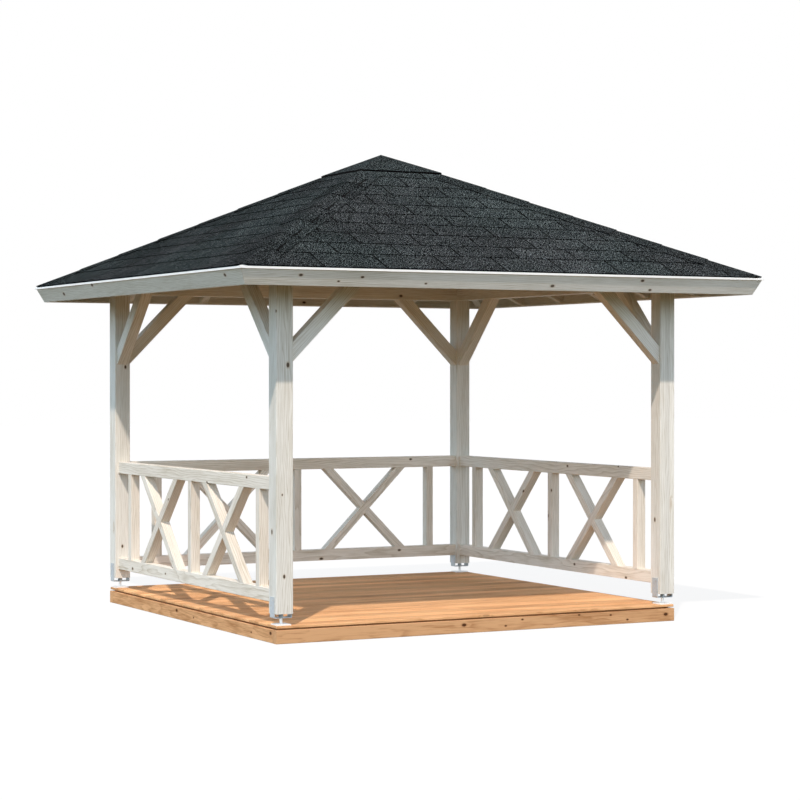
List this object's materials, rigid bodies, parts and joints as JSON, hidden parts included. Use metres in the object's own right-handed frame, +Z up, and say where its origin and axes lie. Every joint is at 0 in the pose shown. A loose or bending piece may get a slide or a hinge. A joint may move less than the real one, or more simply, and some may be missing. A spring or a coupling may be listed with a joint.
{
  "type": "garden gazebo",
  "caption": "Square timber garden gazebo with a boarded deck, posts on steel shoes, knee braces, cross-braced railings and a shingled pyramid roof.",
  "frame": {"origin": "centre of the underside of the deck frame, at ground level", "axes": "+Z up; the open entrance faces -Y; railings stand on the -X, +Y and +X sides"},
  "size_m": [3.994, 3.994, 3.3738],
  "materials": {
    "timber": "whitewashed planed pine",
    "decking": "oiled pine boards",
    "galvanized_steel": "galvanized",
    "shingles": "granular bitumen shingles on boards",
    "edge_strip": "white strip"
  },
  "bodies": {
    "root": {"braces_back": "timber", "braces_front": "timber", "braces_left": "timber", "braces_right": "timber", "deck_beams_front_back": "timber", "deck_beams_sides": "timber", "deck_floor": "decking", "deck_joists": "timber", "drip_strip_front_back": "edge_strip", "drip_strip_sides": "edge_strip", "fascia_front_back": "timber", "fascia_sides": "timber", "hip_rafters": "timber", "jack_rafters": "timber", "king_post": "timber", "long_rafters": "timber", "post_back_left": "timber", "post_back_right": "timber", "post_front_left": "timber", "post_front_right": "timber", "post_shoe_back_left": "galvanized_steel", "post_shoe_back_right": "galvanized_steel", "post_shoe_front_left": "galvanized_steel", "post_shoe_front_right": "galvanized_steel", "railing_falling_back": "timber", "railing_falling_left": "timber", "railing_falling_right": "timber", "railing_rails_back": "timber", "railing_rails_left": "timber", "railing_rails_right": "timber", "railing_rising_back": "timber", "railing_rising_left": "timber", "railing_rising_right": "timber", "railing_studs_back": "timber", "railing_studs_left": "timber", "railing_studs_right": "timber", "roof_cap": "shingles", "roof_slope_back": "shingles", "roof_slope_front": "shingles", "roof_slope_left": "shingles", "roof_slope_right": "shingles", "wall_plate_back": "timber", "wall_plate_front": "timber", "wall_plate_left": "timber", "wall_plate_right": "timber"}
  },
  "joints": []
}
